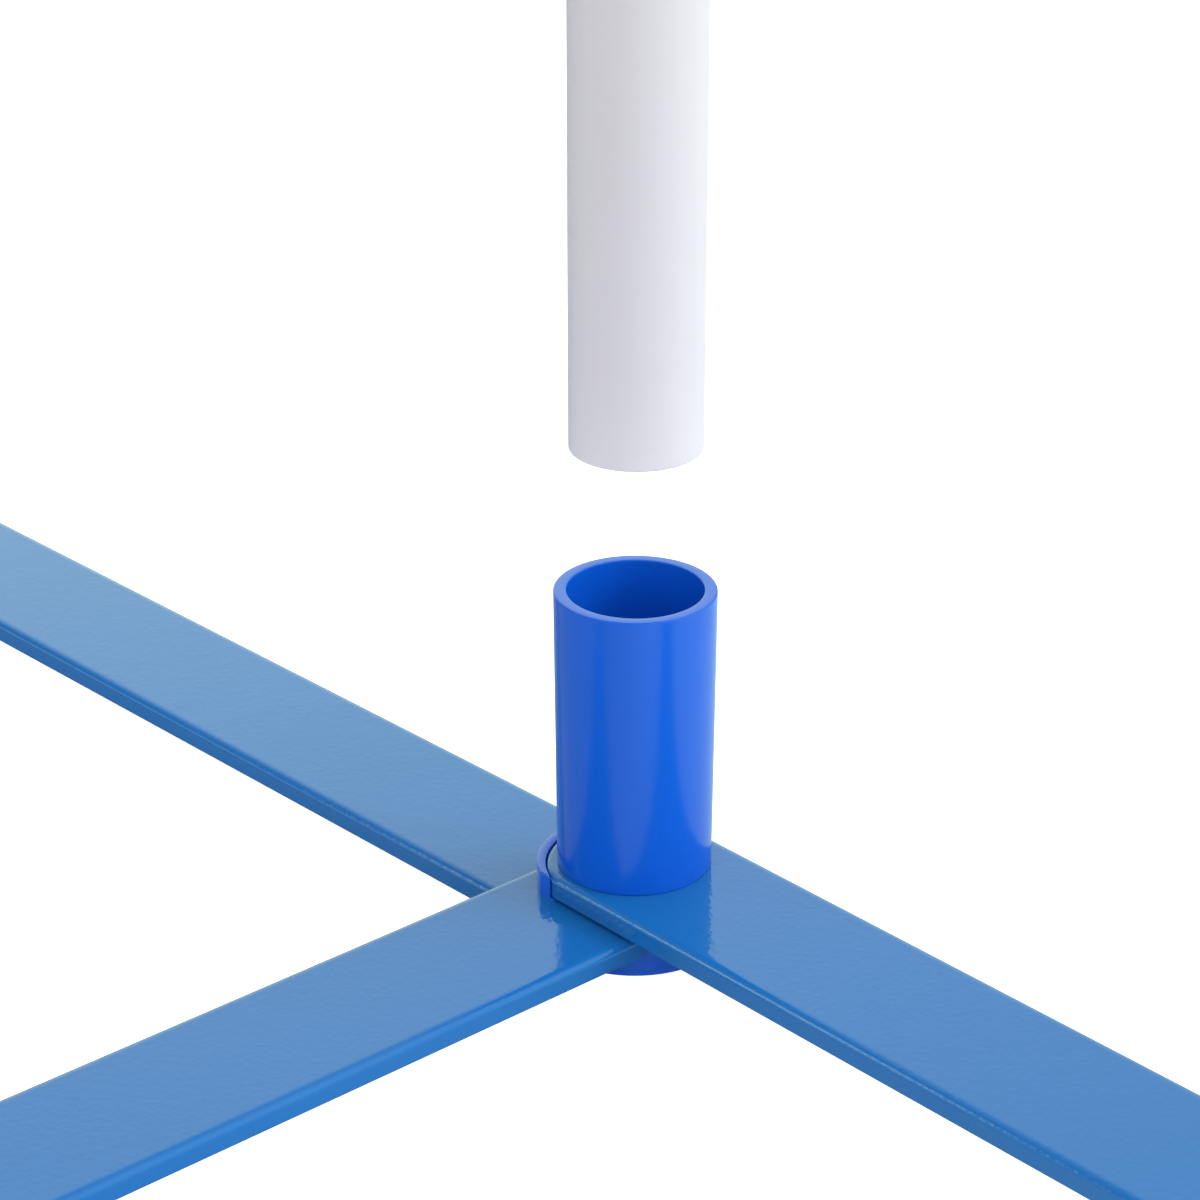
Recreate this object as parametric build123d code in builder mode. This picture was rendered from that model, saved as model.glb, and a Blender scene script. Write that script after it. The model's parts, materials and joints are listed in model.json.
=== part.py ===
from build123d import *
import math
import os

os.makedirs("parts", exist_ok=True)

# A weave pole set for dog training: three blue sockets in a row, joined by flat
# steel link bars that turn about each socket's pivot, with a steadying side bar
# at each socket and a white plastic pole that stands in it.
# Millimetres, +Z up. The origin is on the floor, on the centre socket's axis, and
# +X runs along the right-hand link bar.

# Layout of the set at rest: bearings are degrees about +Z, counted from +X
pole_spacing = 600.0          # from one socket's axis to the next
left_link_bearing = 181.4     # the left link bar, seen from the centre socket
right_link_bearing = 0.0
center_side_bearing = -90.2   # the centre side bar, seen from its socket
end_side_bearing = 90.0       # end side bars, from their link bar's +X direction
side_hole_spacing = 200.0     # side bar: pivot hole to foot screw hole

# Flat steel bars: rolled edges, cut round at both ends
bar_width = 40.0
bar_thickness = 5.4
bar_edge_radius = 2.2
bar_end_inset = 0.8           # bar end beyond its hole: this less than half the width
bar_end_offset = 2.0          # centre of the end arc, from the hole into the bar

# Plastic rims under and round the bar ends
rim_wall = 2.8                # wall thickness behind the bar's end
rim_web = 0.5                 # thickness of the rim's floor, between two bars
rim_web_inset = 3.0           # the floor stops this far inside the bar's sides
rim_gap = 0.15                # rim wall to bar end
rim_edge = 0.5                # rounding of the rim wall's top edge

# Socket for a pole: a tapered cup on a shank that the bars turn about
socket_height = 67.0          # cup, from the topmost bar to the rim
socket_wall = 2.9             # at the rim
socket_draft = 0.6            # the foot's radius is this much less than the rim's
socket_web = 4.0              # floor of the cup
socket_edge = 0.4             # rounding of the cup's mouth and foot
shank_radius = 9.0
shank_gap = 0.08              # running fit of the bars on the shank

# Pivot bolt up through the shank, with its washer and nut in the cup
bolt_radius = 4.0
bolt_tail = 2.2               # above the nut
bolt_head_radius = 13.0
bolt_head_thickness = 1.6
bolt_neck = 9.6               # square under the head, keyed into the shank
bolt_neck_length = 3.0
bolt_hole_gap = 0.2
bolt_tip = 0.8                # chamfer
washer_radius = 8.0
washer_thickness = 1.6
nut_across_flats = 13.0
nut_height = 6.5
thread_gap = 0.05             # radial, stands in for the thread

# Rubber pad under the bolt head, which is what the set stands on
pad_lip = 1.0                 # pad beyond the bolt's head
pad_thickness = 1.4
pad_edge = 0.4

# Ring on the empty level of an end socket's stack, as wide as a bar
spacer_edge = 0.4

# Foot at the far end of a side bar, and its screw
foot_edge = 1.0               # chamfer at the floor
foot_length = 22.0            # under the bar, from the screw inwards
screw_radius = 2.4
screw_head_radius = 4.8
screw_head_angle = 90.0
screw_length = 12.0
screw_gap = 0.1               # round the shank and under the head
screw_recess = 2.6            # hexagonal drive, across flats
screw_recess_depth = 1.5

# Poles
pole_radius = 14.6
pole_gap = 0.5                # loose fit of a pole in its socket, radial
pole_wall = 2.0
pole_length = 1000.0
pole_lift = 33.5              # centre pole at rest: its lower end above the rim
pole_end_edge = 0.4
cap_thickness = 3.0
cap_dome = 2.0
cap_plug_length = 14.0
cap_plug_gap = 0.1

# Levels in the stack, worked out from the floor up, and what fits to them
level_pitch = bar_thickness + rim_web
level_count = 3
stack_base = pad_thickness + bolt_head_thickness
stack_top = stack_base + level_count * level_pitch
cup_floor = stack_top + socket_web
rim_height = stack_top + socket_height
bar_end_reach = bar_width / 2 - bar_end_inset
end_arc_radius = bar_end_reach + bar_end_offset
end_corner = math.sqrt(end_arc_radius**2 - (bar_width / 2) ** 2) - bar_end_offset
pivot_hole = shank_radius + shank_gap
rim_radius = bar_end_reach + rim_wall
rim_web_radius = bar_width / 2 - rim_web_inset
spacer_radius = bar_width / 2
socket_bore_radius = pole_radius + pole_gap
socket_rim_radius = socket_bore_radius + socket_wall
socket_foot_radius = socket_rim_radius - socket_draft
pad_radius = bolt_head_radius + pad_lip
bolt_grip = level_count * level_pitch + socket_web + washer_thickness
bolt_length = bolt_grip + nut_height + bolt_tail


def level_base(level):
    """Height of the underside of the rim at a level, 0 being the lowest."""
    return stack_base + level * level_pitch


def polar(distance, bearing):
    """A point in plan, at a distance and a bearing from the origin."""
    angle = math.radians(bearing)
    return distance * math.cos(angle), distance * math.sin(angle)


def save(solid, label):
    """Name a finished piece and write it."""
    solid.label = label
    export_step(solid, f"parts/{label}.step")


def frame_at(x, y, z, bearing):
    """A plane whose x axis points along a bearing, at a point."""
    return Plane(origin=(x, y, z), x_dir=(*polar(1, bearing), 0), z_dir=(0, 0, 1))


def bar_outline(length, spare=0.0):
    """Plan of a flat bar, from one hole at 0 to the other at length."""
    half = bar_width / 2 + spare
    arc = end_arc_radius + spare
    corner = math.sqrt(arc**2 - half**2) - bar_end_offset
    with BuildSketch() as outline:
        with BuildLine():
            Line((-corner, half), (length + corner, half))
            ThreePointArc(
                (length + corner, half),
                (length - bar_end_offset + arc, 0),
                (length + corner, -half),
            )
            Line((length + corner, -half), (-corner, -half))
            ThreePointArc((-corner, -half), (bar_end_offset - arc, 0), (-corner, half))
        make_face()
    return outline.sketch


def make_bar(label, plane, length, foot_hole=False):
    """Flat bar with rolled long edges and round ends, on its own plane."""
    middle = plane.offset(bar_thickness / 2)
    section = Plane(
        origin=middle.from_local_coords((-rim_radius, 0, 0)),
        x_dir=middle.y_dir,
        z_dir=middle.x_dir,
    )
    outline = bar_outline(length)
    with BuildPart() as bar:
        with BuildSketch(section):
            RectangleRounded(bar_width, bar_thickness, bar_edge_radius)
        extrude(amount=length + 2 * rim_radius)
        with BuildSketch(plane):
            add(outline)
        extrude(amount=bar_thickness, mode=Mode.INTERSECT)
        with Locations(plane.offset(bar_thickness)):
            Hole(pivot_hole)
            with Locations((length, 0)):
                if foot_hole:
                    CounterSinkHole(
                        screw_radius + screw_gap,
                        screw_head_radius,
                        counter_sink_angle=screw_head_angle,
                    )
                else:
                    Hole(pivot_hole)
    save(bar.part, label)


def make_rim(label, plane, length):
    """Rim at a bar's end: a thin floor under the bar and a wall round its end."""
    bar_end = bar_outline(length, rim_gap)
    with BuildPart() as rim:
        with BuildSketch(plane):
            Circle(rim_radius)
            Rectangle(2 * rim_radius, bar_width, mode=Mode.INTERSECT)
            with Locations((rim_radius - end_corner, 0)):
                Rectangle(2 * rim_radius, 2 * rim_radius, mode=Mode.SUBTRACT)
            Circle(rim_web_radius)
        extrude(amount=level_pitch)
        with BuildSketch(plane.offset(rim_web)):
            add(bar_end)
        extrude(amount=bar_thickness, mode=Mode.SUBTRACT)
        with Locations(plane.offset(rim_web)):
            Hole(pivot_hole)
        top = rim.faces().sort_by(Axis.Z)[-1]
        fillet(top.edges().filter_by(GeomType.CIRCLE).sort_by(SortBy.RADIUS)[-1:], rim_edge)
    save(rim.part, label)


def make_foot(label, plane, length):
    """Foot round a side bar's far end, on a plane at the floor facing the hub."""
    height = level_base(1) + level_pitch
    bar_end = bar_outline(length, rim_gap)
    with BuildPart() as foot:
        with BuildSketch(plane):
            Circle(rim_radius)
            Rectangle(2 * rim_radius, bar_width, mode=Mode.INTERSECT)
            with Locations((foot_length / 2, 0)):
                Rectangle(foot_length, bar_width)
        extrude(amount=height)
        chamfer(foot.faces().sort_by(Axis.Z)[0].edges(), foot_edge)
        with BuildSketch(plane.offset(height - bar_thickness)):
            add(bar_end)
        extrude(amount=bar_thickness, mode=Mode.SUBTRACT)
        with Locations(plane.offset(height)):
            Hole(screw_radius + screw_gap, depth=screw_length + screw_gap)
    save(foot.part, label)


def make_screw(label, plane):
    """Countersunk screw, its head's top on the plane."""
    slope = math.tan(math.radians(screw_head_angle / 2))
    head = (screw_head_radius - screw_gap - screw_radius) / slope
    with BuildPart() as screw:
        with BuildSketch(plane):
            Circle(screw_radius)
        extrude(amount=-screw_length)
        with Locations(plane.offset(-head / 2)):
            Cone(screw_radius, screw_radius + head * slope, head)
        with BuildSketch(plane):
            RegularPolygon(screw_recess / 2, 6, major_radius=False)
        extrude(amount=-screw_recess_depth, mode=Mode.SUBTRACT)
    save(screw.part, label)


def make_socket(label, x, y):
    """Tapered cup with a shank under it, bored for the pole and the bolt."""
    foot = Plane((x, y, stack_top))
    with BuildPart() as socket:
        with Locations(foot.offset(socket_height / 2)):
            Cone(socket_foot_radius, socket_rim_radius, socket_height)
        with BuildSketch(foot.offset(socket_web)):
            Circle(socket_bore_radius)
        extrude(amount=socket_height - socket_web, mode=Mode.SUBTRACT)
        mouth = socket.faces().sort_by(Axis.Z)[-1]
        fillet(mouth.edges(), socket_edge)
        with BuildSketch(foot):
            Circle(shank_radius)
        extrude(amount=-level_count * level_pitch)
        with BuildSketch(Plane((x, y, stack_base))):
            Rectangle(bolt_neck + bolt_hole_gap, bolt_neck + bolt_hole_gap)
        extrude(amount=bolt_neck_length + bolt_hole_gap, mode=Mode.SUBTRACT)
        with Locations(foot):
            Hole(bolt_radius + bolt_hole_gap)
    save(socket.part, label)


def make_bolt(label, x, y):
    """Flat-headed bolt with a square neck, its head under the stack."""
    seat = Plane((x, y, stack_base))
    with BuildPart() as bolt:
        with BuildSketch(seat):
            Circle(bolt_radius)
        extrude(amount=bolt_length)
        chamfer(bolt.faces().sort_by(Axis.Z)[-1].edges(), bolt_tip)
        with BuildSketch(seat):
            Rectangle(bolt_neck, bolt_neck)
        extrude(amount=bolt_neck_length)
        with BuildSketch(seat):
            Circle(bolt_head_radius)
        extrude(amount=-bolt_head_thickness)
    save(bolt.part, label)


def make_washer(label, x, y):
    """Washer on the cup's floor."""
    with BuildPart() as washer:
        with BuildSketch(Plane((x, y, cup_floor))):
            Circle(washer_radius)
            Circle(bolt_radius + bolt_hole_gap, mode=Mode.SUBTRACT)
        extrude(amount=washer_thickness)
    save(washer.part, label)


def make_nut(label, x, y):
    """Hexagon nut on the washer, its corners turned off top and bottom."""
    seat = Plane((x, y, cup_floor + washer_thickness))
    corner = nut_across_flats / 2 / math.cos(math.pi / 6)
    with BuildPart() as nut:
        with BuildSketch(seat):
            Circle(corner)
        extrude(amount=nut_height)
        chamfer(nut.edges(), corner - nut_across_flats / 2)
        with BuildSketch(seat):
            RegularPolygon(nut_across_flats / 2, 6, major_radius=False)
        extrude(amount=nut_height, mode=Mode.INTERSECT)
        with Locations(seat):
            Hole(bolt_radius + thread_gap)
    save(nut.part, label)


def make_pad(label, x, y):
    """Rubber pad under the bolt's head."""
    with BuildPart() as pad:
        with BuildSketch(Plane((x, y, 0))):
            Circle(pad_radius)
        extrude(amount=pad_thickness)
        chamfer(pad.faces().sort_by(Axis.Z)[0].edges(), pad_edge)
    save(pad.part, label)


def make_spacer(label, x, y, level):
    """Ring that fills the level of the stack where an end socket has no bar."""
    with BuildPart() as spacer:
        with BuildSketch(Plane((x, y, level_base(level)))):
            Circle(spacer_radius)
        extrude(amount=level_pitch)
        chamfer(spacer.edges(), spacer_edge)
        with Locations((x, y, level_base(level))):
            Hole(pivot_hole)
    save(spacer.part, label)


def make_pole(label, x, y, bottom):
    """Plain plastic tube."""
    with BuildPart() as pole:
        with BuildSketch(Plane((x, y, bottom))):
            Circle(pole_radius)
        extrude(amount=pole_length)
        fillet(pole.edges().filter_by(GeomType.CIRCLE), pole_end_edge)
        with BuildSketch(Plane((x, y, bottom))):
            Circle(pole_radius - pole_wall)
        extrude(amount=pole_length, mode=Mode.SUBTRACT)
    save(pole.part, label)


def make_cap(label, x, y, bottom):
    """Cap pressed into the top of a pole, with a rounded edge."""
    top = Plane((x, y, bottom + pole_length))
    with BuildPart() as cap:
        with BuildSketch(top):
            Circle(pole_radius)
        extrude(amount=cap_thickness)
        fillet(cap.faces().sort_by(Axis.Z)[-1].edges(), cap_dome)
        with BuildSketch(top):
            Circle(pole_radius - pole_wall - cap_plug_gap)
        extrude(amount=-cap_plug_length)
    save(cap.part, label)


# Where each socket stands, and which level of its stack has no bar
hubs = {
    "left": (*polar(pole_spacing, left_link_bearing), 2),
    "center": (0.0, 0.0, None),
    "right": (*polar(pole_spacing, right_link_bearing), 0),
}

# Link bars: name, level and bearing from the centre socket
links = [("left", 0, left_link_bearing), ("right", 2, right_link_bearing)]

# Side bars: name and bearing, all on the middle level
sides = [
    ("left", left_link_bearing - 180 + end_side_bearing),
    ("center", center_side_bearing),
    ("right", right_link_bearing + end_side_bearing),
]

for name, (hub_x, hub_y, empty_level) in hubs.items():
    make_socket(f"socket_{name}", hub_x, hub_y)
    make_bolt(f"pivot_bolt_{name}", hub_x, hub_y)
    make_washer(f"pivot_washer_{name}", hub_x, hub_y)
    make_nut(f"pivot_nut_{name}", hub_x, hub_y)
    make_pad(f"base_pad_{name}", hub_x, hub_y)
    if empty_level is not None:
        make_spacer(f"spacer_{name}", hub_x, hub_y, empty_level)
    pole_bottom = rim_height + pole_lift if name == "center" else cup_floor
    make_pole(f"pole_{name}", hub_x, hub_y, pole_bottom)
    make_cap(f"pole_cap_{name}", hub_x, hub_y, pole_bottom)

for name, level, bearing in links:
    base = level_base(level)
    far_x, far_y, _ = hubs[name]
    near_end = frame_at(0, 0, base, bearing)
    far_end = frame_at(far_x, far_y, base, bearing + 180)
    make_bar(f"link_bar_{name}", near_end.offset(rim_web), pole_spacing)
    make_rim(f"link_rim_inner_{name}", near_end, pole_spacing)
    make_rim(f"link_rim_outer_{name}", far_end, pole_spacing)

for name, bearing in sides:
    base = level_base(1)
    hub_x, hub_y, _ = hubs[name]
    step_x, step_y = polar(side_hole_spacing, bearing)
    foot_x, foot_y = hub_x + step_x, hub_y + step_y
    near_end = frame_at(hub_x, hub_y, base, bearing)
    make_bar(f"side_bar_{name}", near_end.offset(rim_web), side_hole_spacing, foot_hole=True)
    make_rim(f"side_rim_{name}", near_end, side_hole_spacing)
    make_foot(f"foot_{name}", frame_at(foot_x, foot_y, 0, bearing + 180), side_hole_spacing)
    make_screw(f"foot_screw_{name}", Plane((foot_x, foot_y, base + level_pitch)))

print("socket rim is", round(rim_height, 2), "mm above the floor")
print("pole travel to its seat", round(rim_height + pole_lift - cup_floor, 2), "mm")
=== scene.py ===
# %% [markdown]
# # A weave pole set: flat bar, moulded sockets and white pipe
#
# The real set is a row of upright poles for dog training. Flat steel bars meet at
# each pole on one pivot, a blue plastic socket stands on the pivot, and the pole
# drops into the socket. The imported model holds every size, place and joint. This
# script gives each piece its finished surface: rounded paint edges, moulded
# plastic, drawn pipe and plated screws.
#
# The first step loads the imported model, which never moves.

# %% Load the fixed frame
import json
import math

import bmesh
import bpy
from mathutils import Matrix, Vector


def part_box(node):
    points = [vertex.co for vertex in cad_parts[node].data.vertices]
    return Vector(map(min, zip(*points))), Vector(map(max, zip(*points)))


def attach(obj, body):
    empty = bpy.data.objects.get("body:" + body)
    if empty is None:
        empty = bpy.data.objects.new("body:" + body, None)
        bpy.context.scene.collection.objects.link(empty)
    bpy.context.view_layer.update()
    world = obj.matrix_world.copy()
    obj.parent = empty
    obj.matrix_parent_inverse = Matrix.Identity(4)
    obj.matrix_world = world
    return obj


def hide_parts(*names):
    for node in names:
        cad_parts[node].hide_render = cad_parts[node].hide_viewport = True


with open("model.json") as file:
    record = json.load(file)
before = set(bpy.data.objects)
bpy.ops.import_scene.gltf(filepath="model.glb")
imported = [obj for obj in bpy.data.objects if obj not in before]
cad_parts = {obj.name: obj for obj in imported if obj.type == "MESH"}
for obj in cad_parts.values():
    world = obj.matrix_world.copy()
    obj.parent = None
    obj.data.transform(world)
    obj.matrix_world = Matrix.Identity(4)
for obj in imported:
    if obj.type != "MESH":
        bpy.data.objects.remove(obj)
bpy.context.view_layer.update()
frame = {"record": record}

MM = 0.001
record = frame["record"]
body_of = {}
for body, members in record["behaviour"]["bodies"].items():
    for member in members:
        body_of[member] = body
slot_of = {part["node"]: part["material_slot"] for part in record["subparts"]}
print("pieces in the packed model:", len(body_of))

# %% [markdown]
# ## Where things stand
#
# Nothing is placed by eye. The base pads give the three pivots, the foot screws
# give the way each side bar points, and the boxes of the bars and sockets give
# the heights. A piece is drawn in millimetres round its own pivot, with +X along
# its bar, and a matrix carries it to its place in metres.

# %% Pivots, bearings and heights from the frame
def middle(packed):
    """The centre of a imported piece's box, in metres."""
    low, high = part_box(packed)
    return (low + high) / 2


def size(packed):
    """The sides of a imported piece's box, in millimetres."""
    low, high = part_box(packed)
    return (high - low) / MM


def foot_of(packed):
    """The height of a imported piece's underside, in metres."""
    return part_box(packed)[0].z


def bearing(start, end):
    """The angle about +Z of the way from one point to another."""
    return math.atan2(end.y - start.y, end.x - start.x)


def place(point, z, angle=0.0):
    """Matrix from a piece's own millimetres to metres in the frame."""
    move = Matrix.Translation((point.x, point.y, z))
    return move @ Matrix.Rotation(angle, 4, "Z") @ Matrix.Scale(MM, 4)


SIDES = ("left", "center", "right")
pivot = {side: middle(f"base_pad_{side}") for side in SIDES}
for side in SIDES:
    print(side, "pivot at", [round(v, 4) for v in pivot[side][:2]])

# %% [markdown]
# ## The camera
#
# A long lens from a little above keeps the bars nearly parallel, as in a
# catalogue close-up. The camera looks down on the centre joint across the corner
# between the right link bar and the centre side bar.

# %% Camera
CAMERA_PLACE = (0.5133, -0.4709, 0.4087)
CAMERA_LENS = 105.58
CAMERA_SENSOR = 36.0
CAMERA_DOWN = math.radians(24.928)
CAMERA_HEADING = math.radians(48.103)

lens = bpy.data.cameras.new("close_up_lens")
lens.sensor_width = CAMERA_SENSOR
lens.lens = CAMERA_LENS
lens.clip_end = 50.0
camera = bpy.data.objects.new("close_up_camera", lens)
camera.location = CAMERA_PLACE
camera.rotation_euler = (math.pi / 2 - CAMERA_DOWN, 0, CAMERA_HEADING)
bpy.context.scene.collection.objects.link(camera)
bpy.context.scene.camera = camera
print("camera stands", round(Vector(CAMERA_PLACE).length, 3), "m from the joint")

# %% [markdown]
# ## Studio light
#
# Gloss paint shows whatever stands round it, so the room matters as much as the
# lamp. What a glossy surface mirrors is a dim white room with three bright
# places: a wide backdrop behind the set, a side wall on the camera's right, and a
# small window on its left whose mirror image is the thin light line along a
# bar's edge. What a dull surface receives is a smooth daylight that is stronger
# on the right, so each socket and pole shades slowly across. One soft lamp, also
# on the right, adds a little direction. The floor looks pure white straight on.
# In the pieces' mirror image it carries painted shade and light: darker and
# slightly blue-green, and lighter towards the lamp's side.

# %% Small helpers for node trees
def node(tree, kind, **settings):
    """Add a node and set its fields; a dict in 'values' sets input sockets."""
    made = tree.nodes.new(kind)
    values = settings.pop("values", {})
    for field, value in settings.items():
        setattr(made, field, value)
    for name, value in values.items():
        made.inputs[name].default_value = value
    return made


def join(tree, source, output, target, entry):
    """Link an output of one node to an input of another."""
    tree.links.new(source.outputs[output], target.inputs[entry])


# %% Bright places of the white room
# Each lobe has a direction, an outer and an inner angle, all in degrees.
ROOM_DIM = 0.28
BACKDROP = {"azimuth": 152, "height": 14, "wide": 44, "narrow": 10, "strength": 1.44}
SIDE_WALL = {"azimuth": 55, "height": 30, "wide": 62, "narrow": 15, "strength": 0.85}
WINDOW = {"azimuth": 220, "height": 38, "wide": 6, "narrow": 2, "strength": 4.2}
ROOM_TINT = (0.90, 1.10, 0.78, 1.0)
DAYLIGHT = 1.00
DAYLIGHT_SLOPE = 0.48
DAYLIGHT_FROM = math.radians(5)
PURE_WHITE = (1.0, 1.0, 1.0, 1.0)

world = bpy.data.worlds.new("white_room")
bpy.context.scene.world = world
world.use_nodes = True
tree = world.node_tree
tree.nodes.clear()
direction = node(tree, "ShaderNodeTexCoord")


def bright_wall(wall):
    """Light that fades out round one direction of the room."""
    azimuth = math.radians(wall["azimuth"])
    up = math.radians(wall["height"])
    axis = (
        math.cos(azimuth) * math.cos(up),
        math.sin(azimuth) * math.cos(up),
        math.sin(up),
    )
    across = node(tree, "ShaderNodeVectorMath", operation="DOT_PRODUCT")
    across.inputs[1].default_value = axis
    span = node(tree, "ShaderNodeMapRange", values={"To Max": wall["strength"]})
    span.inputs["From Min"].default_value = math.cos(math.radians(wall["wide"]))
    span.inputs["From Max"].default_value = math.cos(math.radians(wall["narrow"]))
    join(tree, direction, "Generated", across, 0)
    join(tree, across, "Value", span, "Value")
    return span


# %% What glossy surfaces mirror
both_walls = node(tree, "ShaderNodeMath", operation="ADD")
join(tree, bright_wall(BACKDROP), "Result", both_walls, 0)
join(tree, bright_wall(SIDE_WALL), "Result", both_walls, 1)
with_window = node(tree, "ShaderNodeMath", operation="ADD")
join(tree, both_walls, "Value", with_window, 0)
join(tree, bright_wall(WINDOW), "Result", with_window, 1)
room = node(tree, "ShaderNodeMath", operation="ADD")
room.inputs[1].default_value = ROOM_DIM
join(tree, with_window, "Value", room, 0)

# %% What dull surfaces receive
slope = node(tree, "ShaderNodeVectorMath", operation="DOT_PRODUCT")
slope.inputs[1].default_value = (
    DAYLIGHT_SLOPE * math.cos(DAYLIGHT_FROM),
    DAYLIGHT_SLOPE * math.sin(DAYLIGHT_FROM),
    0.0,
)
daylight = node(tree, "ShaderNodeMath", operation="ADD")
daylight.inputs[1].default_value = DAYLIGHT
join(tree, direction, "Generated", slope, 0)
join(tree, slope, "Value", daylight, 0)

# %% One sky out of both, and plain white for the camera
seen = node(tree, "ShaderNodeLightPath")
glossy = node(tree, "ShaderNodeBackground")
plain = node(tree, "ShaderNodeBackground")
clean = node(tree, "ShaderNodeBackground", values={"Strength": 1.0})
soft_mix = node(tree, "ShaderNodeMixShader")
last_mix = node(tree, "ShaderNodeMixShader")
sky = node(tree, "ShaderNodeOutputWorld")
for background in (plain, clean):
    background.inputs["Color"].default_value = PURE_WHITE
glossy.inputs["Color"].default_value = ROOM_TINT
join(tree, room, "Value", glossy, "Strength")
join(tree, daylight, "Value", plain, "Strength")
join(tree, seen, "Is Glossy Ray", soft_mix, 0)
join(tree, plain, 0, soft_mix, 1)
join(tree, glossy, 0, soft_mix, 2)
join(tree, seen, "Is Camera Ray", last_mix, 0)
join(tree, soft_mix, 0, last_mix, 1)
join(tree, clean, 0, last_mix, 2)
join(tree, last_mix, 0, sky, "Surface")
bpy.context.scene.view_settings.view_transform = "Standard"
print("white room set")


# %% The lamp
def soft_lamp(name, spot, aim, side, power):
    """A square area lamp that points at a spot."""
    lamp = bpy.data.lights.new(name, "AREA")
    lamp.shape = "SQUARE"
    lamp.size = side
    lamp.energy = power
    holder = bpy.data.objects.new(name, lamp)
    holder.location = spot
    turn = (Vector(aim) - Vector(spot)).to_track_quat("-Z", "Y")
    holder.rotation_euler = turn.to_euler()
    bpy.context.scene.collection.objects.link(holder)
    return holder


JOINT = (0.0, 0.0, 0.05)
KEY_PLACE = (1.92, 1.61, 1.80)
KEY_SIDE = 1.5
KEY_POWER = 30.0

key = soft_lamp("key_lamp", KEY_PLACE, JOINT, KEY_SIDE, KEY_POWER)
key.visible_glossy = False
print("key lamp", round((Vector(key.location) - Vector(JOINT)).length, 2), "m away")

# %% Floor
FLOOR_RADIUS = 14.0
FLOOR_PALE = (0.80, 0.80, 0.80, 1.0)
# Painted shade and light, seen only in reflections: the floor's mirrored colour is darker on one
# side and lighter towards the lamp.
FLOOR_PAINTED_SHADE = (0.30, 0.38, 0.37, 1.0)
FLOOR_PAINTED_LIGHT = (0.66, 0.92, 0.82, 1.0)
FLOOR_TOWARDS = math.radians(50)
FLOOR_FADE = 0.16
FLOOR_DROP = 0.0002
FLOOR_SIDES = 96

bpy.ops.mesh.primitive_circle_add(
    vertices=FLOOR_SIDES, radius=FLOOR_RADIUS, fill_type="NGON", location=(0, 0, -FLOOR_DROP)
)
floor = bpy.context.object
floor.name = "studio_floor"
sheet = bpy.data.materials.new("pale_floor")
sheet.use_nodes = True
surface = sheet.node_tree.nodes["Principled BSDF"]
surface.inputs["Roughness"].default_value = 0.9
surface.inputs["Specular IOR Level"].default_value = 0.0
surface.inputs["Emission Color"].default_value = PURE_WHITE
tree = sheet.node_tree
floor_seen = node(tree, "ShaderNodeLightPath")
join(tree, floor_seen, "Is Camera Ray", surface, "Emission Strength")
where = node(tree, "ShaderNodeTexCoord")
across = node(tree, "ShaderNodeVectorMath", operation="DOT_PRODUCT")
across.inputs[1].default_value = (math.cos(FLOOR_TOWARDS), math.sin(FLOOR_TOWARDS), 0)
fade = node(tree, "ShaderNodeMapRange", interpolation_type="SMOOTHSTEP")
fade.inputs["From Min"].default_value = -FLOOR_FADE
fade.inputs["From Max"].default_value = FLOOR_FADE
# Painted shade in the floor's reflection: its colour fades from the dark one to the light one
# across the floor.
mirrored_painted_shade = node(tree, "ShaderNodeMix", data_type="RGBA")
mirrored_painted_shade.inputs[6].default_value = FLOOR_PAINTED_SHADE
mirrored_painted_shade.inputs[7].default_value = FLOOR_PAINTED_LIGHT
chosen = node(tree, "ShaderNodeMix", data_type="RGBA")
chosen.inputs[6].default_value = FLOOR_PALE
join(tree, where, "Object", across, 0)
join(tree, across, "Value", fade, "Value")
join(tree, fade, "Result", mirrored_painted_shade, 0)
join(tree, floor_seen, "Is Glossy Ray", chosen, 0)
join(tree, mirrored_painted_shade, 2, chosen, 7)
join(tree, chosen, 2, surface, "Base Color")
floor.data.materials.append(sheet)
print("floor laid, radius", FLOOR_RADIUS, "m")

# %% [markdown]
# ## Finishes
#
# Each finish is a Principled surface with its own small faults. Gloss paint has
# orange peel, a fine ripple that breaks up reflections, and a few specks of dust
# under the skin. Moulded plastic is smoother but less glossy, and light goes a
# little way into it. Pipe shows faint lines along its length from the die. All
# patterns use the frame's own metres, so they keep their size on every piece.


# %% Parts that every finish shares
NOISE_SPAN = (0.3, 0.7)
RARE_GRAIN = 0.86


def finish(name, color, roughness, **settings):
    """A named material whose uniform values sit on the shader's own sockets."""
    made = bpy.data.materials.new(name)
    made.use_nodes = True
    shader = made.node_tree.nodes["Principled BSDF"]
    shader.inputs["Base Color"].default_value = (*color, 1.0)
    shader.inputs["Roughness"].default_value = roughness
    for entry, value in settings.items():
        shader.inputs[entry.replace("_", " ")].default_value = value
    made["shader"] = shader.name
    return made


def grain(material, scale, detail=2.0, stretch=(1.0, 1.0, 1.0)):
    """A noise pattern in the frame's metres, drawn out along some axes."""
    tree = material.node_tree
    where = node(tree, "ShaderNodeTexCoord")
    sized = node(tree, "ShaderNodeMapping", values={"Scale": stretch})
    noise = node(tree, "ShaderNodeTexNoise", values={"Scale": scale, "Detail": detail})
    join(tree, where, "Object", sized, "Vector")
    join(tree, sized, "Vector", noise, "Vector")
    return noise


def shade(material, pattern, color_low, color_high):
    """Let a pattern move the base colour between two close colours."""
    tree = material.node_tree
    ramp = node(tree, "ShaderNodeValToRGB")
    for stop, place_on_ramp, color in zip(
        ramp.color_ramp.elements, NOISE_SPAN, (color_low, color_high)
    ):
        stop.position = place_on_ramp
        stop.color = (*color, 1.0)
    join(tree, pattern, "Fac", ramp, "Fac")
    return ramp


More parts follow.
